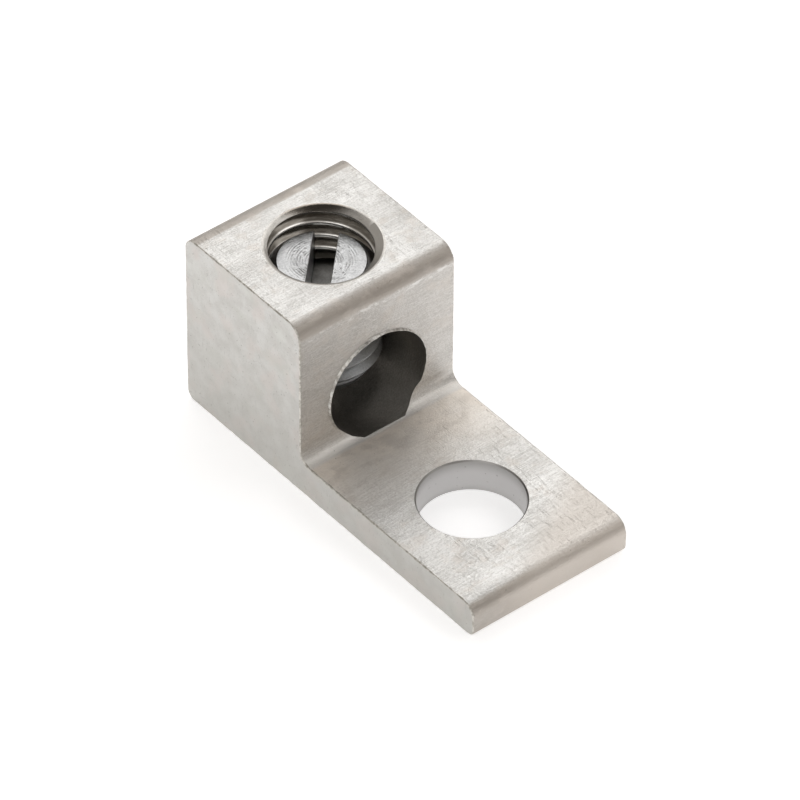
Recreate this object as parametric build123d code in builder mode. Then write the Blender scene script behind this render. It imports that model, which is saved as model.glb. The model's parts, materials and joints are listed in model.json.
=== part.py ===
from build123d import *

import os
from math import radians, tan

# A mechanical lug: an L-shaped aluminium body with a tongue that bolts down over a stud,
# and a slotted set screw that presses a wire onto the floor of the wire bore.
# Millimetres. The origin is the centre of the stud hole on the underside, +X runs along
# the tongue towards its free end, +Z is up.

# Body, an extruded L section cut to width
lug_width = 12.7
lug_length = 29.25
lug_height = 13.85
block_length = 11.8
tongue_thickness = 2.6

# Rounded edges of the section, which all run across the width
back_top_radius = 1.0
back_low_radius = 0.65
front_top_radius = 1.25
inner_radius = 0.95
tongue_top_radius = 1.05
tongue_low_radius = 0.5

# Stud hole through the tongue
stud_hole_diameter = 7.14
stud_hole_to_tongue_end = 7.85

# Wire bore, cut from the back face with a flat-ended tool whose corner is ground back
wire_bore_diameter = 7.86
wire_bore_floor = 2.0
wire_bore_overrun = 0.82
wire_bore_corner_width = 0.21
wire_bore_corner_length = 0.45

# Set screw, measured over its thread, and its tapped hole
screw_diameter = 7.84
screw_length = 8.75
screw_to_back_face = 6.1
screw_top_chamfer = 1.03
screw_end_face_diameter = 5.78
screw_lead_in_height = 1.65
thread_clearance = 0.05
smallest_wire_diameter = 1.66

# Driver slot across the screw's top, its direction turned about +Z from +X
slot_width = 1.62
slot_depth = 2.85
slot_direction = -45

# Drill point of the tapped hole
drill_point_angle = 118
drill_point_clearance = 0.05

# Places that follow from the sizes
back_face_x = stud_hole_to_tongue_end - lug_length
front_face_x = back_face_x + block_length
tongue_end_x = stud_hole_to_tongue_end
screw_axis_x = back_face_x + screw_to_back_face
wire_bore_radius = wire_bore_diameter / 2
wire_bore_axis_z = wire_bore_floor + wire_bore_radius
wire_bore_length = block_length + wire_bore_overrun
screw_radius = screw_diameter / 2
tapped_hole_radius = screw_radius + thread_clearance
screw_bottom_z = wire_bore_floor + smallest_wire_diameter


def drill_point_height(radius):
    """Height of the cone that a drill of this radius leaves past its full diameter."""
    return radius / tan(radians(drill_point_angle / 2))


# The tapped hole is drilled until its point just clears the floor of the wire bore
tapped_hole_depth = (
    lug_height - wire_bore_floor - drill_point_clearance - drill_point_height(tapped_hole_radius)
)


def cut_round_hole(mouth, direction, radial, profile):
    """Cuts a blind hole into the open part from its profile, which goes from mouth to bottom.

    The half section lies in the plane through the hole's axis, with its first axis across
    the hole and its second along it, and is turned about the hole's axis.
    """
    section = Plane(origin=mouth, x_dir=radial, z_dir=Vector(radial).cross(Vector(direction)))
    with BuildSketch(section) as half_section:
        with BuildLine():
            Polyline((0, 0), *profile, close=True)
        make_face()
    revolve(half_section.sketch, axis=Axis(mouth, direction), mode=Mode.SUBTRACT)


# The section's corners and the radius of each, round from the low back edge
rounded_corners = [
    ((back_face_x, 0), back_low_radius),
    ((tongue_end_x, 0), tongue_low_radius),
    ((tongue_end_x, tongue_thickness), tongue_top_radius),
    ((front_face_x, tongue_thickness), inner_radius),
    ((front_face_x, lug_height), front_top_radius),
    ((back_face_x, lug_height), back_top_radius),
]

# Body: the section, rounded at its corners, then cut to width and drilled
with BuildPart() as lug_body:
    with BuildSketch(Plane.XZ) as section:
        with BuildLine():
            Polyline(*[corner for corner, radius in rounded_corners], close=True)
        make_face()
        for corner, radius in rounded_corners:
            fillet(section.vertices().sort_by_distance(corner)[0], radius)
    extrude(amount=lug_width / 2, both=True)

    with Locations((0, 0, tongue_thickness)):
        Hole(radius=stud_hole_diameter / 2, depth=tongue_thickness)

    cut_round_hole(
        mouth=(back_face_x, 0, wire_bore_axis_z),
        direction=(1, 0, 0),
        radial=(0, 0, 1),
        profile=[
            (wire_bore_radius, 0),
            (wire_bore_radius, wire_bore_length - wire_bore_corner_length),
            (wire_bore_radius - wire_bore_corner_width, wire_bore_length),
            (0, wire_bore_length),
        ],
    )
    cut_round_hole(
        mouth=(screw_axis_x, 0, lug_height),
        direction=(0, 0, -1),
        radial=(1, 0, 0),
        profile=[
            (tapped_hole_radius, 0),
            (tapped_hole_radius, tapped_hole_depth),
            (0, tapped_hole_depth + drill_point_height(tapped_hole_radius)),
        ],
    )

# Set screw: a plain turned cylinder over its thread, with a steep lead-in below and a chamfer
# above, slotted and run down until only the smallest wire would fit under it
with BuildPart() as set_screw:
    with BuildSketch(Plane((screw_axis_x, 0, screw_bottom_z), x_dir=(1, 0, 0), z_dir=(0, -1, 0))):
        with BuildLine():
            Polyline(
                (0, 0),
                (screw_end_face_diameter / 2, 0),
                (screw_radius, screw_lead_in_height),
                (screw_radius, screw_length - screw_top_chamfer),
                (screw_radius - screw_top_chamfer, screw_length),
                (0, screw_length),
                close=True,
            )
        make_face()
    revolve(axis=Axis((screw_axis_x, 0, 0), (0, 0, 1)))
    screw_top = Plane((screw_axis_x, 0, screw_bottom_z + screw_length))
    with BuildSketch(screw_top.rotated((0, 0, slot_direction))):
        Rectangle(2 * screw_diameter, slot_width)
    extrude(amount=-slot_depth, mode=Mode.SUBTRACT)

os.makedirs("parts", exist_ok=True)
lug_body.part.label = "lug_body"
export_step(lug_body.part, "parts/lug_body.step")
set_screw.part.label = "set_screw"
export_step(set_screw.part, "parts/set_screw.step")
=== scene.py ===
import json
from math import cos, pi, radians, sin, tan

import bpy
import numpy as np
from mathutils import Matrix, Vector


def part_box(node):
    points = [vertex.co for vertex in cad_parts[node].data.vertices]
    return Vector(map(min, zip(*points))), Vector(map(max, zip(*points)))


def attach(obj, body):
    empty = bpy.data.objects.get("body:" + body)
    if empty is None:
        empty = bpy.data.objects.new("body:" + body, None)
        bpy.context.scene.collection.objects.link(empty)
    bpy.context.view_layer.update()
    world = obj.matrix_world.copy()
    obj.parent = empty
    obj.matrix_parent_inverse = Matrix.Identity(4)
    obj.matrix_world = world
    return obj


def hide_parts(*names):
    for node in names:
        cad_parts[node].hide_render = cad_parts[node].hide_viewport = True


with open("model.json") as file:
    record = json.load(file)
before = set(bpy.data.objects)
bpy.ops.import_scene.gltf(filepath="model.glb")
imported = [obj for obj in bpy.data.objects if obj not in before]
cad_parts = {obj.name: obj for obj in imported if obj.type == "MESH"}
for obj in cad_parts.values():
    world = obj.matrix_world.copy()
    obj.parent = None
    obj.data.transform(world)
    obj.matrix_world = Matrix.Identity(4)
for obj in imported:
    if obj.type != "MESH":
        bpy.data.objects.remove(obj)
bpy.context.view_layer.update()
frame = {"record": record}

# The finished look of a mechanical lug: a plated body, sawn to width and drilled, and a slotted
# set screw in its tapped hole. Shapes are worked out in millimetres, and mesh_piece turns them
# into metres
MM = 0.001

# The frame's boxes and mounts give the places that the finished pieces keep
body_low, body_high = (np.array(corner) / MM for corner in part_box("lug_body"))
screw_low, screw_high = (np.array(corner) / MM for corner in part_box("set_screw"))
mounts = {mount["name"]: mount for mount in frame["record"]["mounts"]}

# Body section
back_x = body_low[0]
end_x = body_high[0]
top_z = body_high[2]
half_width = body_high[1]
block_length = 11.8
front_x = back_x + block_length
tongue_z = mounts["stud_hole"]["dims"]["length_mm"]
back_low_radius = 0.65
tongue_low_radius = 0.5
tongue_top_radius = 1.05
inner_radius = 0.95
front_top_radius = 1.25
back_top_radius = 1.0

# The section's corners and the radius of each, round from the low back edge
rounded_corners = [
    ((back_x, 0), back_low_radius),
    ((end_x, 0), tongue_low_radius),
    ((end_x, tongue_z), tongue_top_radius),
    ((front_x, tongue_z), inner_radius),
    ((front_x, top_z), front_top_radius),
    ((back_x, top_z), back_top_radius),
]

# Sawn edges along both sides, worn round by an amount that changes in long and short waves
edge_break = 0.09
edge_break_spread = 0.5
edge_long_wave = 0.9
edge_short_wave = 0.3
edge_long_share = 0.6
edge_short_share = 0.4

# How far a face's direction leans sideways, from 0 to 1, where it counts as sawn or as worn edge
sawn_lean = 0.999
worn_lean = 0.02

# Stud hole and wire bore, with the burr that the tool raised round the bore's front, whose waves
# are counted in its points
stud_hole_radius = mounts["stud_hole"]["dims"]["r_mm"]
stud_hole_edge = 0.1
wire_bore_radius = mounts["wire_port"]["dims"]["r_mm"]
wire_bore_z = mounts["wire_port"]["pos_m"][2] / MM
wire_bore_length = mounts["wire_port"]["dims"]["length_mm"]
wire_bore_corner_width = 0.21
wire_bore_corner_length = 0.45
bore_edge = 0.08
burr_height = 0.16
burr_width = 0.12
burr_spread = 0.35
burr_long_wave = 11
burr_short_wave = 2.5
burr_fade = 0.6
burr_sink = 0.03
burr_set_in = 0.02
burr_foot = 0.2

# Set screw, and the driver slot across its top
screw_x = (screw_low[0] + screw_high[0]) / 2
screw_radius = (screw_high[0] - screw_low[0]) / 2
screw_bottom = screw_low[2]
screw_top = screw_high[2]
screw_end_radius = 2.89
screw_lead_in = 1.65
slot_width = 1.62
slot_depth = 2.85
slot_direction = radians(-45)
slot_edge = 0.04

# Thread. Its crests and grooves are counted down from the first crest of the hole that crosses
# the wall opposite the photograph's camera
pitch = 25.4 / 24
thread_flank = radians(30)
thread_clearance = 0.05
tapped_radius = screw_radius + thread_clearance
hole_crest_radius = 3.43
hole_root_flat = 0.2
hole_crest_rounding = 0.1
screw_root_radius = 3.3
screw_crest_flat = 0.11
thread_rounding = 0.04
far_wall_direction = radians(137.5)
first_crest_depth = 1.33
thread_run_out = 1.25

# The blank stands outside the screw's crests, and the tap drill stays inside the hole's crests
blank_oversize = 0.3
tap_drill_undersize = 0.03

# Tapped hole: its drill point, its countersink and the worn lip round it, which is given by how
# far each of its points lies outside the countersink and below the top
drill_half_angle = radians(59)
drill_tip_clearance = 0.05
countersink_radius = 3.8
countersink_reach = 2
countersink_offset = (0.12, 0.05)
countersink_slope = radians(30)
mouth_lip = [(0, 0.05), (0.06, 0.025), (0.15, 0.005), (1.2, -0.1)]

# Cutters reach this far past the surface that they cut
OVERCUT = 1

# Bands over which a finish comes in: where it starts, and where it is full
saw_band = (half_width - 0.6, half_width - 0.02)
front_band = (front_x - front_top_radius, front_x - 0.3 * front_top_radius)
back_band = (back_x + back_top_radius + 0.4, back_x + back_top_radius + 0.15)
high_band = (top_z - front_top_radius, top_z - 0.7 * front_top_radius)
low_band = (tongue_z + 1.3, tongue_z + 0.4)
sawn_height_band = (top_z, 0)
on_block_band = (front_x + 0.6, front_x + 0.3)
off_block_band = (front_x + 0.3, front_x + 0.6)
root_band = (front_x + 8, front_x + 1)
end_band = (end_x - 0.75, end_x - 0.35)
far_corner_band = (4.5, 7.5)
groove_band = (1.9, 1.6)
outlet_band = (front_x - 1.2, front_x + 0.8)
crest_band = (hole_crest_radius + 0.14, hole_crest_radius + 0.04)
mouth_band = (top_z - 0.65, top_z - 0.35)
turning_band = (2.7, 1.6)
screw_side_band = (screw_top - 1.2, screw_top - 1.8)
slot_end_band = (-1.8, -3.2)

# Lines along which a finish lies: its middle, and how far off it ends
# A painted highlight lies along the inner fillet
fillet_highlight_line = (front_x + 0.75, 0.5)
groove_line = (back_x + wire_bore_length + 0.05, 0.11)
seam_line = (top_z - front_top_radius, 0.32)
stud_wall_line = (tongue_z * 0.42, tongue_z * 0.62)

# The tapped hole carries painted shade: darkest on the mouth's wall opposite the camera, over a band
# from the axis, and along a line far down, where the thread shows through the driver slot
dark_wall_direction = radians(150)
dark_wall_band = (2.8, 3.6)
dark_thread_line = (top_z - 4.25, 0.6)

# Colours of the plated body
plate_dull = (0.53, 0.52, 0.5)
plate_bright = (0.84, 0.835, 0.82)
scratch_bright = (0.93, 0.925, 0.91)
# Painted shade with a warm tint, for the rounded edges and the upright faces
arc_shade = (0.41, 0.375, 0.34)
upright_shade = (0.41, 0.37, 0.33)
# Painted light for the tongue beside the block, where the block shades it
root_light = (0.98, 0.915, 0.84)
blot_brown = (0.62, 0.57, 0.52)
# Pale lines, and the painted highlight along the inner fillet
line_pale = (0.87, 0.86, 0.84)
fleck_dark = (0.2, 0.18, 0.15)

# Colours of the sawn sides and their edges
sawn_dull = (0.56, 0.55, 0.525)
sawn_pale = (0.66, 0.655, 0.635)
sawn_brown = (0.66, 0.6, 0.57)
sawn_green = (0.6, 0.61, 0.56)
# Painted shade for the lower part of the sawn sides
sawn_low_shade = (0.43, 0.42, 0.39)
pit_dark = (0.25, 0.24, 0.22)
worn_dark = (0.4, 0.38, 0.34)
worn_pale = (0.66, 0.64, 0.6)

# Colours of the holes
cut_dark = (0.4, 0.38, 0.35)
# The wire bore's wall: darkened as painted shade, and lighter at its outlet
bore_wall_shade = (0.5, 0.48, 0.45)
outlet_light = (0.62, 0.6, 0.57)
burr_pale = (0.66, 0.65, 0.62)
stud_rim = (0.34, 0.33, 0.32)
stud_middle = (0.52, 0.51, 0.505)
speck_dark = (0.2, 0.19, 0.18)
# Painted shade for the thread's grooves
groove_shade = (0.17, 0.155, 0.135)
crest_bright = (0.85, 0.83, 0.8)
tap_streak = (0.6, 0.57, 0.53)
mouth_dull = (0.54, 0.52, 0.49)
# Painted shade for the mouth's wall opposite the camera
mouth_shade = (0.27, 0.23, 0.19)
# Painted shade for the thread far down, seen through the driver slot
deep_thread_shade = (0.05, 0.047, 0.04)
countersink_dull = (0.44, 0.425, 0.4)
countersink_pale = (0.6, 0.58, 0.55)

# Colours of the screw
steel_dull = (0.39, 0.395, 0.4)
steel_pale = (0.61, 0.615, 0.62)
steel_shade = (0.2, 0.21, 0.22)
slot_dull = (0.68, 0.69, 0.7)
slot_bright = (0.88, 0.89, 0.9)
# Painted shade for the far end of the driver slot
slot_end_shade = (0.07, 0.068, 0.062)

# Stage: lamps are placed in metres, their azimuth counted as for the camera
floor_radius = 2000
floor_colour = (0.86, 0.86, 0.87)
floor_lift = (0.54, 0.54, 0.54)
floor_seen_by = ("Is Camera Ray", "Is Glossy Ray", "Is Transmission Ray")
room_colour = (0.43, 0.41, 0.385)
ceiling_colour = (0.05, 0.045, 0.04)
ceiling_edge = (0.86, 0.97)
lamp_distance = 0.5
lamps = {
    "key": {"azimuth": 231, "elevation": 48, "width": 0.7, "height": 0.27, "watts": 0.93},
    "fill": {"azimuth": 25, "elevation": 40, "width": 0.4, "height": 0.35, "watts": 0.4},
    "back": {"azimuth": 140, "elevation": 50, "width": 0.32, "height": 0.25, "watts": 0.26},
}

# The photograph's camera, in millimetres and degrees
camera_lens = 360
camera_sensor = 36
camera_azimuth = 50.638
camera_elevation = 42.352
camera_roll = 0.355
camera_distance = 513.577
camera_aim = (-7.4, 0, 5.0)
camera_shift = (0.074, 0.651)
camera_clip = 50

# How finely the round shapes are divided, and the angle above which an edge stays sharp
ROUND = 144
ROUND_START = 0.37
ARC_STEPS = 16
EDGE_STEPS = 4
OUTLINE_STEP = 0.2
SHARP_ABOVE = radians(32)


# Meshes from grids of points


def halved(first, second, third, fourth):
    """Two triangles for each four-sided cell of a grid, from the numbers of its corners in order."""
    near = np.stack([first, second, third], -1).reshape(-1, 3)
    far = np.stack([first, third, fourth], -1).reshape(-1, 3)
    return np.vstack([near, far])


def grid_faces(rows, columns):
    """The triangles between the points of a grid, numbered row by row, whose columns close round."""
    row, column = np.meshgrid(np.arange(rows - 1), np.arange(columns), indexing="ij")
    here = row * columns + column
    beside = row * columns + (column + 1) % columns
    return halved(here, beside, beside + columns, here + columns)


def mesh_piece(name, points, faces, finish):
    """An object made of points in millimetres and faces given as lists of point numbers."""
    mesh = bpy.data.meshes.new(name)
    mesh.from_pydata(np.asarray(points) * MM, [], faces)
    mesh.materials.append(finish)
    piece = bpy.data.objects.new(name, mesh)
    bpy.context.scene.collection.objects.link(piece)
    return piece


def ringed_solid(name, rings, finish, middles=None):
    """A closed surface through rings of points, where rings[i, j] is point j of ring i.

    A ring runs counter-clockwise seen from the end that the rings advance to. Each end is one
    flat face, or a fan of triangles round its middle where middles gives one for each end.
    """
    count, around = rings.shape[:2]
    points = rings.reshape(-1, 3)
    faces = grid_faces(count, around).tolist()
    here = np.arange(around)
    beside = (here + 1) % around
    last = (count - 1) * around
    if middles is None:
        faces += [here[::-1].tolist(), (last + here).tolist()]
    else:
        first_middle = np.full(around, len(points))
        faces += np.stack([first_middle, beside, here], 1).tolist()
        faces += np.stack([first_middle + 1, last + here, last + beside], 1).tolist()
        points = np.vstack([points, middles])
    return mesh_piece(name, points, faces, finish)


def turned(name, profile, finish, origin=(0, 0, 0), along=(0, 0, 1), across=(1, 0, 0), ends=None):
    """A solid of revolution.

    The point at angle t and row i is origin + r_i (cos t across + sin t over) + h_i along, where
    the profile's rows are (r_i, h_i) and over is along x across. The first angle is an odd share
    of a step, so that no point of one cutter lies on an edge of another. ends are the heights of
    the middles of both ends, as for a drill's point, and the profile's own heights by default.
    """
    origin, along, across = (np.array(v, float) for v in (origin, along, across))
    over = np.cross(along, across)
    profile = np.array(profile, float)
    angle = 2 * pi * (np.arange(ROUND) + ROUND_START) / ROUND
    spoke = np.cos(angle)[:, None] * across + np.sin(angle)[:, None] * over
    rings = origin + profile[:, 0, None, None] * spoke + profile[:, 1, None, None] * along
    low, high = ends or (profile[0, 1], profile[-1, 1])
    return ringed_solid(name, rings, finish, middles=[origin + low * along, origin + high * along])


def rounded_outline(corners, radii):
    """Points and outward directions round a polygon with rounded corners.

    With edge directions d and outward normals n, a corner P that turns by t, to the left for
    s = 1 and to the right for s = -1, is the arc about P - r tan(|t| / 2) d - s r n of the
    edge before it, at s r times n turned evenly through t. Straight stretches lie between the arcs.
    """
    corners, radii = np.array(corners, float), np.array(radii, float)
    edge = np.roll(corners, -1, 0) - corners
    edge /= np.linalg.norm(edge, axis=1)[:, None]
    out = np.stack([edge[:, 1], -edge[:, 0]], 1)
    before, out_before = np.roll(edge, 1, 0), np.roll(out, 1, 0)
    turn = np.arctan2(before[:, 0] * edge[:, 1] - before[:, 1] * edge[:, 0], (before * edge).sum(1))
    signed = np.sign(turn) * radii
    centre = corners - (radii * np.tan(np.abs(turn) / 2))[:, None] * before - signed[:, None] * out_before
    angle = turn[:, None] * np.linspace(0, 1, ARC_STEPS + 1)
    turned_out = np.stack(
        [
            np.cos(angle) * out_before[:, :1] - np.sin(angle) * out_before[:, 1:],
            np.sin(angle) * out_before[:, :1] + np.cos(angle) * out_before[:, 1:],
        ],
        -1,
    )
    arc = centre[:, None] + signed[:, None, None] * turned_out
    points, normals = [], []
    for i in range(len(corners)):
        start, stop = arc[i, -1], arc[(i + 1) % len(corners), 0]
        steps = int(np.linalg.norm(stop - start) / OUTLINE_STEP)
        share = np.arange(1, steps)[:, None] / steps
        points += [arc[i], start + share * (stop - start)]
        normals += [turned_out[i], np.repeat(out[i][None], steps - 1, 0)]
    return np.vstack(points), np.vstack(normals)


def wander(count, period, seed):
    """Smooth random values from -1 to 1 for count places round a closed line.

    Random numbers spread evenly round the line, one every period places, joined by half cosines.
    """
    anchors = np.random.default_rng(seed).uniform(-1, 1, max(4, int(count / period)))
    at = np.arange(count) * len(anchors) / count
    here = at.astype(int)
    blend = (1 - np.cos(pi * (at - here))) / 2
    return anchors[here] * (1 - blend) + anchors[(here + 1) % len(anchors)] * blend


def sawn_prism(name, outline, normals, finish):
    """The section cut to width, its edges rounded by an amount that wanders along them.

    At angle a from the side face, 90 to 0 degrees, a ring stands c (1 - cos a) inside the outline
    and c (1 - sin a) inside the side face, where c is the edge's own radius at that place.
    """
    angle = np.linspace(pi / 2, 0, EDGE_STEPS + 1)
    sides = []
    for seed in (3, 4):
        slow = wander(len(outline), edge_long_wave / OUTLINE_STEP, seed)
        fast = wander(len(outline), edge_short_wave / OUTLINE_STEP, seed + 10)
        uneven = edge_long_share * slow + edge_short_share * fast
        rounding = edge_break * (1 + edge_break_spread * uneven)
        inside = rounding[None] * (1 - np.cos(angle))[:, None]
        level = half_width - rounding[None] * (1 - np.sin(angle))[:, None]
        flat = outline[None] - inside[..., None] * normals[None]
        sides.append(np.stack([flat[..., 0], level, flat[..., 1]], -1))
    left, right = sides
    right = right[::-1] * (1, -1, 1)
    return ringed_solid(name, np.vstack([left, right]), finish)


def threaded(name, top_crest_z, past, turns, root, crest, crest_flat, roundings, finish):
    """A rod on the screw's axis with a right-hand thread, which ends some turns past the far wall.

    A crest crosses the far wall's direction at top_crest_z, and the thread climbs past turns
    further. root and crest are its radii. One pitch of the profile is (z_k, r_k):
    half a flat root, a flank, a flat crest, a flank and half a root, where a rounding s replaces
    each corner by its points at s along both lines and a point between them. At column j of J the
    rows stand at z_k + pitch j / J, so the sheet climbs one pitch a turn, and its last column
    joins the first one pitch higher. Both ends are fans round the axis.
    """
    outer, inner = roundings
    edge = crest_flat / 2
    foot = edge + (crest - root) * tan(thread_flank)
    along, down = sin(thread_flank), cos(thread_flank)
    half = [
        (edge - outer, crest),
        (edge - outer * (1 - along) / 4, crest - outer * down / 4),
        (edge + outer * along, crest - outer * down),
        (foot - inner * along, root + inner * down),
        (foot + inner * (1 - along) / 4, root + inner * down / 4),
        (foot + inner, root),
    ]
    profile = [(-z, r) for z, r in reversed(half)] + half
    heights, radii = np.array(profile).T
    per_turn = len(heights)
    rows = per_turn * turns + 1
    row, column = np.meshgrid(np.arange(rows), np.arange(ROUND), indexing="ij")
    start = top_crest_z + pitch * (past - turns)
    z = start + (row // per_turn) * pitch + heights[row % per_turn] + pitch * column / ROUND
    angle = far_wall_direction + 2 * pi * (past + column / ROUND)
    radius = radii[row % per_turn]
    points = np.stack([screw_x + radius * np.cos(angle), radius * np.sin(angle), z], -1).reshape(-1, 3)

    number = row * ROUND + column
    faces = halved(number[:-1, :-1], number[:-1, 1:], number[1:, 1:], number[1:, :-1])
    low_row = np.arange(rows - per_turn - 1)
    first, last = number[:, 0], number[:, -1]
    higher = first[low_row + per_turn]
    seam = halved(last[low_row], higher, first[low_row + per_turn + 1], last[low_row + 1])
    bottom = np.concatenate([number[0], first[per_turn:0:-1]])
    top = np.concatenate([number[-1], last[-2 : -per_turn - 2 : -1]])
    middle = len(points)
    bottom_fan = np.stack([np.full(len(bottom), middle), np.roll(bottom, -1), bottom], 1)
    top_fan = np.stack([np.full(len(top), middle + 1), top, np.roll(top, -1)], 1)
    ends = [(screw_x, 0, start), (screw_x, 0, start + turns * pitch)]
    points = np.vstack([points, ends])
    return mesh_piece(name, points, np.vstack([faces, seam, bottom_fan, top_fan]).tolist(), finish)


def combine(piece, operation, *others):
    """Joins other solids to the piece, cuts them from it or keeps what it shares with them.

    They act one after another, and a new face keeps the finish of the solid that made it.
    """
    for other in others:
        change = piece.modifiers.new(other.name, "BOOLEAN")
        change.operation = operation
        change.object = other
        change.solver = "EXACT"
        change.material_mode = "TRANSFER"
    graph = bpy.context.evaluated_depsgraph_get()
    mesh = bpy.data.meshes.new_from_object(piece.evaluated_get(graph))
    piece.modifiers.clear()
    piece.data = mesh
    for other in others:
        bpy.data.objects.remove(other)


def smooth(piece):
    """Smooth shading with sharp edges above an angle; broad faces keep their own direction."""
    piece.data.shade_smooth()
    piece.data.set_sharp_from_angle(angle=SHARP_ABOVE)
    weighting = piece.modifiers.new("broad faces lead", "WEIGHTED_NORMAL")
    weighting.keep_sharp = True
    return piece


# Shader expressions


class Value:
    """A node's output. Arithmetic on it, where it is one number at each point, adds Math nodes."""

    def __init__(self, nodes, socket):
        self.nodes = nodes
        self.socket = socket

    def __add__(self, other):
        return self.nodes.math("ADD", self, other)

    def __sub__(self, other):
        return self.nodes.math("SUBTRACT", self, other)

    def __rsub__(self, other):
        return self.nodes.math("SUBTRACT", other, self)

    def __mul__(self, other):
        return self.nodes.math("MULTIPLY", self, other)

    __radd__ = __add__
    __rmul__ = __mul__


class Nodes:
    """A node tree whose nodes are made from expressions."""

    def __init__(self, tree):
        self.tree = tree
        tree.nodes.clear()

    def node(self, kind, settings, inputs, output=0):
        """Adds a node: its settings first, then values or links for its sockets. Gives one output."""
        node = self.tree.nodes.new(kind)
        for name, value in settings.items():
            setattr(node, name, value)
        for key, value in inputs.items():
            if isinstance(value, Value):
                self.tree.links.new(value.socket, node.inputs[key])
            else:
                node.inputs[key].default_value = value
        return Value(self, node.outputs[output]) if node.outputs else None

    def math(self, operation, *values):
        """One Math node on outputs and numbers."""
        return self.node("ShaderNodeMath", {"operation": operation}, dict(enumerate(values)))

    def step(self, value, low, high):
        """0 at low, 1 at high and smooth between; low may be the larger of the two."""
        settings = {"interpolation_type": "SMOOTHSTEP"}
        return self.node("ShaderNodeMapRange", settings, {"Value": value, "From Min": low, "From Max": high})

    def mix(self, share, low, high):
        """A colour between two, by a share from 0 to 1."""
        colours = [c if isinstance(c, Value) else (*c, 1) for c in (low, high)]
        return self.node("ShaderNodeMix", {"data_type": "RGBA"}, {0: share, 6: colours[0], 7: colours[1]}, 2)


class Finish(Nodes):
    """One material and its nodes. Places and heights in it are in millimetres."""

    def __init__(self, name):
        self.material = bpy.data.materials.new(name)
        self.material.use_nodes = True
        super().__init__(self.material.node_tree)
        place = self.node("ShaderNodeTexCoord", {}, {}, "Object")
        self.place = self.node("ShaderNodeVectorMath", {"operation": "SCALE"}, {0: place, "Scale": 1 / MM})
        whole = {0: self.place}
        self.x, self.y, self.z = (self.node("ShaderNodeSeparateXYZ", {}, whole, axis) for axis in "XYZ")

    def noise(self, size, seed, detail=2.0, roughness=0.5):
        """Noise about 0.5 with a feature size in millimetres, one for each axis."""
        stretch = {"Vector": self.place, "Location": (seed, seed, seed), "Scale": tuple(1 / s for s in size)}
        place = self.node("ShaderNodeMapping", {"vector_type": "POINT"}, stretch)
        inputs = {"Vector": place, "Scale": 1.0, "Detail": detail, "Roughness": roughness}
        return self.node("ShaderNodeTexNoise", {"noise_dimensions": "3D"}, inputs)

    def near(self, value, middle, reach):
        """1 where the value is at the middle, falling to 0 a reach away from it."""
        return self.step(self.math("ABSOLUTE", value - middle), reach, reach / 4)

    def radius_from(self, across, across_at, along, along_at):
        """Distance from an axis, from two places square to it."""
        a, b = across - across_at, along - along_at
        return self.math("SQRT", a * a + b * b)

    def far_side(self):
        """1 on the wall of the tapped hole's mouth that faces the photograph's camera, 0 elsewhere."""
        # Painted shade lies where this is 1
        far = (self.x - screw_x) * cos(dark_wall_direction) + self.y * sin(dark_wall_direction)
        return self.step(far, *dark_wall_band)

    def metal(self, colour, roughness, height):
        """Ends the material as bare metal, with its colour, roughness and height in millimetres."""
        bump = self.node("ShaderNodeBump", {}, {"Height": height, "Distance": MM, "Strength": 1.0})
        inputs = {"Base Color": colour, "Roughness": roughness, "Metallic": 1.0, "Normal": bump}
        shader = self.node("ShaderNodeBsdfPrincipled", {}, inputs)
        self.node("ShaderNodeOutputMaterial", {}, {"Surface": shader})
        return self.material


# Finishes


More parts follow.
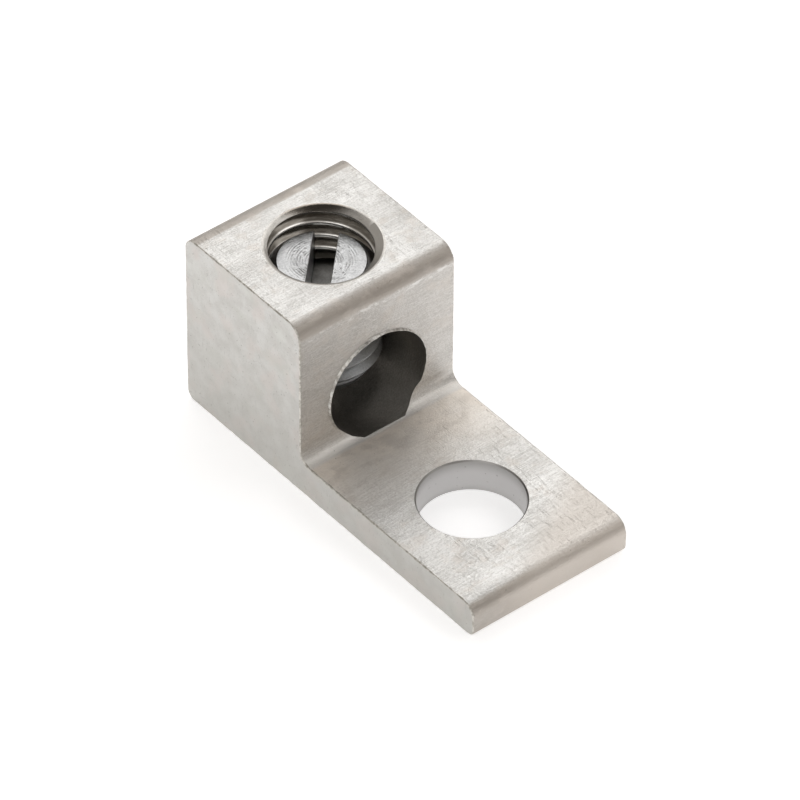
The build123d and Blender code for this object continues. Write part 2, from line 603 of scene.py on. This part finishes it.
def extruded():
    """Satin plated metal with the die's fine lines across the width.

    The rounded edges, the front and the tongue's end are browner, painted shade with a warm tint.
    The tongue beside the block is dull, and creamy and lighter as painted light where the block
    shades it; it is brown at its far corner. Dark flecks of burr lie along the sawn edges, pale
    lines mark the end of the front's rounding and the end of the groove that the wire bore leaves
    in the tongue, and a painted highlight lies along the inner fillet.
    """
    f = Finish("extruded")

    # Patterns of the metal
    lines = f.noise((0.06, 1.1, 0.06), 1, detail=4, roughness=0.6)
    bands = f.noise((0.45, 14, 0.45), 2)
    cloud = f.noise((2.5, 3, 2.5), 3, detail=3)
    grain = f.noise((0.11, 0.16, 0.11), 4, detail=4, roughness=0.65)
    ragged = f.step(f.noise((0.25, 0.25, 0.25), 6), 0.4, 0.58)
    blot = f.step(f.noise((1.1, 1.6, 1.1), 8, detail=4, roughness=0.6), 0.5, 0.68)
    scratches = f.step(f.noise((1.1, 0.07, 0.3), 9, detail=2), 0.61, 0.74)
    patches = f.step(f.noise((0.35, 0.5, 0.3), 10, detail=4), 0.5, 0.6)
    specks = f.step(f.noise((0.16, 0.16, 0.16), 7), 0.72, 0.78)

    # Places on the body
    from_middle = f.math("ABSOLUTE", f.y)
    near_saw = f.step(from_middle, *saw_band)
    flecks = f.step(f.noise((0.25, 0.14, 0.25), 5), 0.63, 0.7) * near_saw
    front = f.step(f.x, *front_band)
    arcs = f.math("MAXIMUM", front, f.step(f.x, *back_band)) * f.step(f.z, *high_band)
    low = f.step(f.z, *low_band)
    root = f.step(f.x, *root_band) * f.step(f.x, *off_block_band)
    upright = f.math("MAXIMUM", front * f.step(f.x, *on_block_band), f.step(f.x, *end_band) * 2.3)
    fillet = f.near(f.x, *fillet_highlight_line)
    far_corner = f.step(f.x + f.y * 0.6, *far_corner_band) * low
    groove_end = f.near(f.x, *groove_line) * f.step(from_middle, *groove_band) * low * ragged
    seam = f.near(f.z, *seam_line) * front * patches * 0.5
    pale = f.math("MAXIMUM", groove_end, seam)

    # Colour and relief, from the bare metal to what lies on it, with painted shade, light and highlight
    # among them
    tone = f.step(lines * 0.35 + grain * 0.35 + bands * 0.1 + cloud * 0.2, 0.4, 0.6)
    colour = f.mix(tone, plate_dull, plate_bright)
    colour = f.mix(scratches * 0.25, colour, scratch_bright)
    # Painted shade: the rounded edges, the front and the tongue's end darker and browner
    colour = f.mix(arcs * (cloud * 0.7 + 0.55), colour, arc_shade)
    colour = f.mix(upright * (cloud * 0.4 + 0.2), colour, upright_shade)
    # Painted light: the tongue beside the block lighter, where the block shades it
    colour = f.mix(root * (1.35 - cloud), colour, root_light)
    colour = f.mix(f.math("MAXIMUM", blot * 0.4, far_corner * 0.7), colour, blot_brown)
    # Pale lines, and a painted highlight along the inner fillet
    colour = f.mix(f.math("MAXIMUM", pale, fillet * 0.8), colour, line_pale)
    colour = f.mix(f.math("MAXIMUM", flecks * 0.5, specks * 0.7), colour, fleck_dark)
    height = lines * 0.018 + grain * 0.026 - scratches * 0.01 - flecks * 0.01 + pale * 0.015
    return f.metal(colour, lines * 0.1 + grain * 0.14 + root * 0.2 + 0.28, height)


def sawn():
    """The sawn sides, tumbled to a matte face with small pits and faint stains, and painted shade towards
    the bottom.
    """
    f = Finish("sawn")
    cloud = f.noise((1.1, 1.1, 1.1), 11, detail=4, roughness=0.6)
    stain = f.noise((1.7, 1.7, 1.7), 12, detail=3)
    green = f.noise((2.1, 2.1, 2.1), 15)
    grain = f.noise((0.09, 0.09, 0.09), 13, detail=4, roughness=0.65)
    pits = f.step(f.noise((0.17, 0.17, 0.17), 14), 0.66, 0.76)
    scores = f.step(f.noise((0.09, 0.09, 0.75), 16), 0.66, 0.78)
    dark = f.math("MAXIMUM", pits * 0.5, scores * 0.4)
    colour = f.mix(f.step(cloud * 0.6 + grain * 0.4, 0.36, 0.64), sawn_dull, sawn_pale)
    colour = f.mix(f.step(stain, 0.48, 0.66) * 0.45, colour, sawn_brown)
    colour = f.mix(f.step(green, 0.5, 0.7) * 0.3, colour, sawn_green)
    # Painted shade: the sawn sides darker towards the bottom
    colour = f.mix(f.step(f.z, *sawn_height_band) * 0.45, colour, sawn_low_shade)
    colour = f.mix(dark, colour, pit_dark)
    return f.metal(colour, grain * 0.15 + 0.42, grain * 0.008 - dark * 0.02)


def worn_edge():
    """The thin rounded edge between a sawn side and the extruded faces, dull and darker."""
    f = Finish("worn_edge")
    burr = f.noise((0.35, 0.35, 0.35), 21, detail=4, roughness=0.6)
    colour = f.mix(f.step(burr, 0.38, 0.6), worn_dark, worn_pale)
    return f.metal(colour, burr * 0.1 + 0.42, burr * 0.012)


def bored():
    """The wire bore's wall with the tool's rings, its colour darkened as painted shade, less so where it
    runs out at the front.
    """
    f = Finish("bored")
    shake = f.noise((1.2, 1.2, 1.2), 31)
    rings = f.math("SINE", f.x * (2 * pi / 0.22) + shake * 9)
    grain = f.noise((0.1, 0.1, 0.1), 32, detail=3)
    outlet = f.step(f.x, *outlet_band)
    # Painted shade: the bore's wall dark, lighter towards its outlet at the front
    colour = f.mix(f.step(grain, 0.3, 0.7), cut_dark, bore_wall_shade)
    colour = f.mix(outlet * 0.3, colour, outlet_light)
    return f.metal(colour, grain * 0.1 + 0.32, rings * 0.0015 + grain * 0.003)


def deburred():
    """A pale, ragged broken edge."""
    f = Finish("deburred")
    nick = f.noise((0.25, 0.25, 0.25), 81, detail=3)
    colour = f.mix(f.step(nick, 0.35, 0.6), cut_dark, burr_pale)
    return f.metal(colour, nick * 0.1 + 0.36, nick * 0.03)


def punched():
    """The stud hole's wall, smooth, duller towards both rims, with a few specks."""
    f = Finish("punched")
    grain = f.noise((0.12, 0.12, 0.12), 42)
    specks = f.step(f.noise((0.2, 0.2, 0.2), 43), 0.69, 0.75)
    middle = f.near(f.z, *stud_wall_line)
    colour = f.mix(middle, stud_rim, stud_middle)
    colour = f.mix(specks * 0.6, colour, speck_dark)
    return f.metal(colour, grain * 0.1 + 0.34, grain * 0.002)


def tapped():
    """The cut thread in the body: grooves painted dark as shade between burnished crests."""
    f = Finish("tapped")
    r = f.radius_from(f.x, screw_x, f.y, 0)
    cut = f.noise((0.6, 0.6, 0.07), 51, detail=3)
    crest = f.step(r, *crest_band)
    mouth = f.step(f.z, *mouth_band)
    # Painted shade: the thread's grooves dark between the crests
    colour = f.mix(crest, groove_shade, crest_bright)
    colour = f.mix(f.step(cut, 0.4, 0.8) * 0.3, colour, tap_streak)
    shade = f.far_side()
    colour = f.mix(mouth, colour, mouth_dull)
    # Painted shade on the mouth's wall opposite the camera
    colour = f.mix(mouth * shade * 0.75, colour, mouth_shade)
    # Painted shade: the thread near black along a line far down
    colour = f.mix(f.near(f.z, *dark_thread_line) * 0.93, colour, deep_thread_shade)
    return f.metal(colour, cut * 0.12 + mouth * 0.15 + 0.14, cut * 0.004)


def countersunk():
    """The tapped hole's mouth, cut and then dulled with the rest of the body."""
    f = Finish("countersunk")
    cut = f.noise((0.5, 0.5, 0.05), 52, detail=3)
    grain = f.noise((0.1, 0.1, 0.1), 53)
    shade = f.far_side()
    colour = f.mix(f.step(cut * 0.5 + grain * 0.5, 0.35, 0.65), countersink_dull, countersink_pale)
    # Painted shade on the mouth's wall opposite the camera
    colour = f.mix(shade * 0.75, colour, mouth_shade)
    return f.metal(colour, grain * 0.1 + 0.3 - shade * 0.14, cut * 0.0015 + grain * 0.003)


def screw_metal():
    """The screw's plated steel, with broken turning marks round the middle of its end face."""
    f = Finish("screw_metal")
    r = f.radius_from(f.x, screw_x, f.y, 0)
    shake = f.noise((0.9, 0.9, 0.9), 61, detail=2)
    broken = f.step(f.noise((0.36, 0.36, 0.36), 62, detail=3), 0.43, 0.55) * f.step(r, *turning_band)
    rings = f.math("SINE", r * (2 * pi / 0.19) + shake * 3) * broken
    grain = f.noise((0.13, 0.13, 0.13), 63, detail=4, roughness=0.65)
    tone = f.step(grain * 0.75 + shake * 0.25 + rings * 0.1, 0.34, 0.66)
    colour = f.mix(tone, steel_dull, steel_pale)
    colour = f.mix(f.step(f.z, *screw_side_band) * 0.65, colour, steel_shade)
    return f.metal(colour, grain * 0.12 + 0.26, rings * 0.016 + grain * 0.025)


def slot_metal():
    """The walls and floor of the driver slot, scored along the cut, with painted shade at its far end."""
    f = Finish("slot_metal")
    scores = f.noise((0.4, 0.4, 0.06), 71)
    spots = f.noise((0.14, 0.14, 0.14), 72, detail=3)
    along = (f.x - screw_x) * cos(slot_direction) + f.y * sin(slot_direction)
    colour = f.mix(f.step(scores * 0.5 + spots * 0.5, 0.35, 0.65), slot_dull, slot_bright)
    # Painted shade: the slot dark towards its far end
    colour = f.mix(f.step(along, *slot_end_band) * 0.9, colour, slot_end_shade)
    return f.metal(colour, scores * 0.08 + 0.28, scores * 0.006 + spots * 0.008)


def floor_finish():
    """A plain pale floor. Its lift shows only to the eye, in gloss and through glass."""
    f = Finish("pale_floor")
    rays = [f.node("ShaderNodeLightPath", {}, {}, ray) for ray in floor_seen_by]
    seen = f.math("MAXIMUM", f.math("MAXIMUM", rays[0], rays[1]), rays[2])
    lift = f.mix(seen, (0, 0, 0), floor_lift)
    inputs = {
        "Base Color": (*floor_colour, 1),
        "Roughness": 0.9,
        "Specular IOR Level": 0.0,
        "Emission Color": lift,
        "Emission Strength": 1.0,
    }
    shader = f.node("ShaderNodeBsdfPrincipled", {}, inputs)
    f.node("ShaderNodeOutputMaterial", {}, {"Surface": shader})
    return f.material


# Body


def wire_bore_cutter():
    """The wire bore, flat-ended, the corner of its end ground back."""
    end = wire_bore_length
    profile = [
        (wire_bore_radius + bore_edge + OVERCUT, -OVERCUT),
        (wire_bore_radius, bore_edge),
        (wire_bore_radius, end - wire_bore_corner_length),
        (wire_bore_radius - wire_bore_corner_width, end),
    ]
    return turned("bore", profile, bored(), (back_x, 0, wire_bore_z), (1, 0, 0), (0, 0, 1))


def wire_bore_burr():
    """The ragged lip that the boring tool raised where it broke out of the block's front.

    Its top at angle t stands h(t) proud of the front, h being the burr's height times a random
    wave, and h sinks below the front where the fillet begins. Its section goes from its foot in
    the block over the lip to the bore: row i lies a_i + b_i h(t) in front of the block and
    c_i + d_i w(t) outside the bore, where w is the burr's width times a random wave.
    """
    count = 2 * ROUND
    angle = 2 * pi * np.arange(count) / count
    above_fillet = wire_bore_z + wire_bore_radius * np.sin(angle) - tongue_z - inner_radius
    share = np.clip(above_fillet / burr_fade, 0, 1)
    ragged = 0.5 * wander(count, burr_long_wave, 7) + 0.5 * wander(count, burr_short_wave, 8)
    height = burr_height * (1 + burr_spread * ragged) * share - burr_sink * (1 - share)
    width = burr_width * (1 + burr_spread * ragged[::-1])
    section = np.array(
        [
            (-burr_foot, 0, 0, 1),
            (-burr_set_in, 0, 0, 1),
            (0, 0.55, 0, 0.62),
            (0, 1, 0, 0.3),
            (0, 1, -burr_foot, 0),
        ]
    )
    a, b, c, d = section.T[..., None]
    x = front_x + a + b * height
    radius = wire_bore_radius + c + d * width
    rings = np.stack([x, radius * np.cos(angle), wire_bore_z + radius * np.sin(angle)], -1)
    middles = [(front_x - burr_foot, 0, wire_bore_z), (front_x + burr_height / 2, 0, wire_bore_z)]
    return ringed_solid("burr", rings, deburred(), middles)


def stud_hole_cutter():
    """The stud hole, with a small broken edge at both rims."""
    flared = stud_hole_radius + stud_hole_edge + OVERCUT
    profile = [
        (flared, -OVERCUT),
        (stud_hole_radius, stud_hole_edge),
        (stud_hole_radius, tongue_z - stud_hole_edge),
        (flared, tongue_z + OVERCUT),
    ]
    return turned("stud_hole", profile, punched())


def tapped_hole_cutters():
    """The tap drill, whose point just clears the wire bore's floor, and the thread's grooves.

    The cutter's crests are the hole's grooves. They run out above through the countersink, and
    end below near the drill's point.
    """
    finish = tapped()
    tip_z = wire_bore_z - wire_bore_radius + drill_tip_clearance
    drill_radius = hole_crest_radius - tap_drill_undersize
    shoulder = tip_z + drill_radius / tan(drill_half_angle)
    profile = [(drill_radius, shoulder), (drill_radius, top_z + OVERCUT)]
    drill = turned("tap_drill", profile, finish, (screw_x, 0, 0), ends=(tip_z, top_z + OVERCUT))

    groove_z = top_z - first_crest_depth + pitch / 2
    full_depth = tip_z + tapped_radius / tan(drill_half_angle)
    grooves = threaded(
        "thread",
        top_crest_z=groove_z,
        past=thread_run_out,
        turns=int((groove_z - full_depth) / pitch),
        root=hole_crest_radius,
        crest=tapped_radius,
        crest_flat=hole_root_flat,
        roundings=(thread_rounding, hole_crest_rounding),
        finish=finish,
    )
    return drill, grooves


def mouth_cutter():
    """The countersink, a little off the hole's axis, and the worn lip where it meets the top."""
    lip = [(countersink_radius + out, top_z - below) for out, below in mouth_lip]
    narrow = (lip[0][0] - countersink_reach, lip[0][1] - countersink_reach * tan(countersink_slope))
    aside, along = countersink_offset
    return turned("mouth", [narrow, *lip], countersunk(), (screw_x + aside, along, 0))


def make_body():
    """The body: the sawn section, its side faces and worn edges finished apart, then the holes."""
    outline, normals = rounded_outline(*zip(*rounded_corners))
    body = sawn_prism("lug_body_finished", outline, normals, extruded())
    body.data.materials.append(sawn())
    body.data.materials.append(worn_edge())
    facing = np.zeros(3 * len(body.data.polygons), np.float32)
    body.data.polygons.foreach_get("normal", facing)
    sideways = np.abs(facing.reshape(-1, 3)[:, 1])
    zone = np.select([sideways > sawn_lean, sideways > worn_lean], [1, 2], 0)
    body.data.polygons.foreach_set("material_index", zone.astype(np.int32))

    combine(body, "UNION", wire_bore_burr())
    cutters = [stud_hole_cutter(), wire_bore_cutter(), *tapped_hole_cutters(), mouth_cutter()]
    combine(body, "DIFFERENCE", *cutters)
    return smooth(body)


# Set screw


def slot_cutter(finish):
    """The driver slot: straight walls and a flat floor with small edge breaks, carried across."""
    half, floor_z = slot_width / 2, screw_top - slot_depth
    section = np.array(
        [
            (-half + slot_edge, floor_z),
            (half - slot_edge, floor_z),
            (half, floor_z + slot_edge),
            (half, screw_top - slot_edge),
            (half + slot_edge + OVERCUT, screw_top + OVERCUT),
            (-half - slot_edge - OVERCUT, screw_top + OVERCUT),
            (-half, screw_top - slot_edge),
            (-half, floor_z + slot_edge),
        ]
    )
    along = np.array([cos(slot_direction), sin(slot_direction), 0])
    across = np.cross(along, (0, 0, 1))
    reach = np.array([1, -1]) * 2 * screw_radius
    base = np.array([screw_x, 0, 0]) + reach[:, None] * along
    rings = base[:, None] + section[None, :, :1] * across + section[None, :, 1:] * (0, 0, 1)
    return ringed_solid("slot", rings, finish)


def make_screw():
    """The set screw: a turned blank with its thread cut and its slot milled.

    The thread is counted from one pitch above the hole's first groove, so that its crests lie in
    the grooves and it reaches above the screw's top.
    """
    metal = screw_metal()
    over = blank_oversize
    steepness = screw_lead_in / (screw_radius - screw_end_radius)
    chamfer = screw_radius - screw_end_radius
    profile = [
        (screw_end_radius, screw_bottom),
        (screw_radius + over, screw_bottom + screw_lead_in + over * steepness),
        (screw_radius + over, screw_top - chamfer - over),
        (screw_end_radius, screw_top),
    ]
    screw = turned("set_screw_finished", profile, metal, (screw_x, 0, 0))
    rod = threaded(
        "rod",
        top_crest_z=top_z - first_crest_depth + 1.5 * pitch,
        past=0,
        turns=int((top_z - screw_bottom) / pitch) + 3,
        root=screw_root_radius,
        crest=screw_radius,
        crest_flat=screw_crest_flat,
        roundings=(thread_rounding, 2 * thread_rounding),
        finish=metal,
    )
    combine(screw, "INTERSECT", rod)
    combine(screw, "DIFFERENCE", slot_cutter(slot_metal()))
    return smooth(screw)


body_piece = make_body()
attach(body_piece, "lug")
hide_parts("lug_body")

screw_piece = make_screw()
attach(screw_piece, "screw")
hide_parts("set_screw")


# Stage


def make_floor():
    """A round sheet on which the lug rests."""
    angle = 2 * pi * np.arange(ROUND) / ROUND
    rim = floor_radius * np.stack([np.cos(angle), np.sin(angle), np.zeros(ROUND)], 1)
    floor = mesh_piece("floor", rim, [list(range(ROUND))], floor_finish())


def soft_box(name, azimuth, elevation, width, height, watts):
    """A flat rectangular lamp that looks at the lug, level along its width."""
    lamp = bpy.data.objects.new(name, bpy.data.lights.new(name, "AREA"))
    lamp.data.shape = "RECTANGLE"
    lamp.data.size = width
    lamp.data.size_y = height
    lamp.data.energy = watts
    away = toward(azimuth, elevation)
    lamp.location = away * lamp_distance
    lamp.rotation_euler = away.to_track_quat("Z", "Y").to_euler()
    bpy.context.scene.collection.objects.link(lamp)


def toward(azimuth, elevation):
    """The direction from the lug to a viewer; azimuth 0 looks along +Y, angles in degrees."""
    a, e = radians(azimuth), radians(elevation)
    return Vector((sin(a) * cos(e), -cos(a) * cos(e), sin(e)))


def make_camera():
    """The photograph's view: a direction, a distance and a small roll, aimed off a point of the body."""
    camera = bpy.data.objects.new("camera", bpy.data.cameras.new("camera"))
    camera.data.lens = camera_lens
    camera.data.sensor_width = camera_sensor
    camera.data.clip_start = camera_clip * MM
    back = toward(camera_azimuth, camera_elevation)
    a = radians(camera_azimuth)
    right = Vector((cos(a), sin(a), 0))
    up = back.cross(right)
    roll = radians(camera_roll)
    right, up = cos(roll) * right + sin(roll) * up, cos(roll) * up - sin(roll) * right
    aim = Vector(camera_aim) + back * camera_distance + right * camera_shift[0] + up * camera_shift[1]
    turn = Matrix((right, up, back)).transposed().to_4x4()
    camera.matrix_world = Matrix.Translation(aim * MM) @ turn
    bpy.context.scene.collection.objects.link(camera)
    bpy.context.scene.camera = camera


def make_world():
    """A pale, faintly warm room under a dark ceiling."""
    world = bpy.data.worlds.new("room")
    world.use_nodes = True
    room = Nodes(world.node_tree)
    direction = room.node("ShaderNodeTexCoord", {}, {}, "Generated")
    height = room.node("ShaderNodeSeparateXYZ", {}, {0: direction}, "Z")
    colour = room.mix(room.step(height, *ceiling_edge), room_colour, ceiling_colour)
    light = room.node("ShaderNodeBackground", {}, {"Color": colour, "Strength": 1.0})
    room.node("ShaderNodeOutputWorld", {}, {"Surface": light})
    bpy.context.scene.world = world


make_floor()
for name, lamp in lamps.items():
    soft_box(name, **lamp)
make_world()
make_camera()
bpy.context.scene.view_settings.view_transform = "Standard"
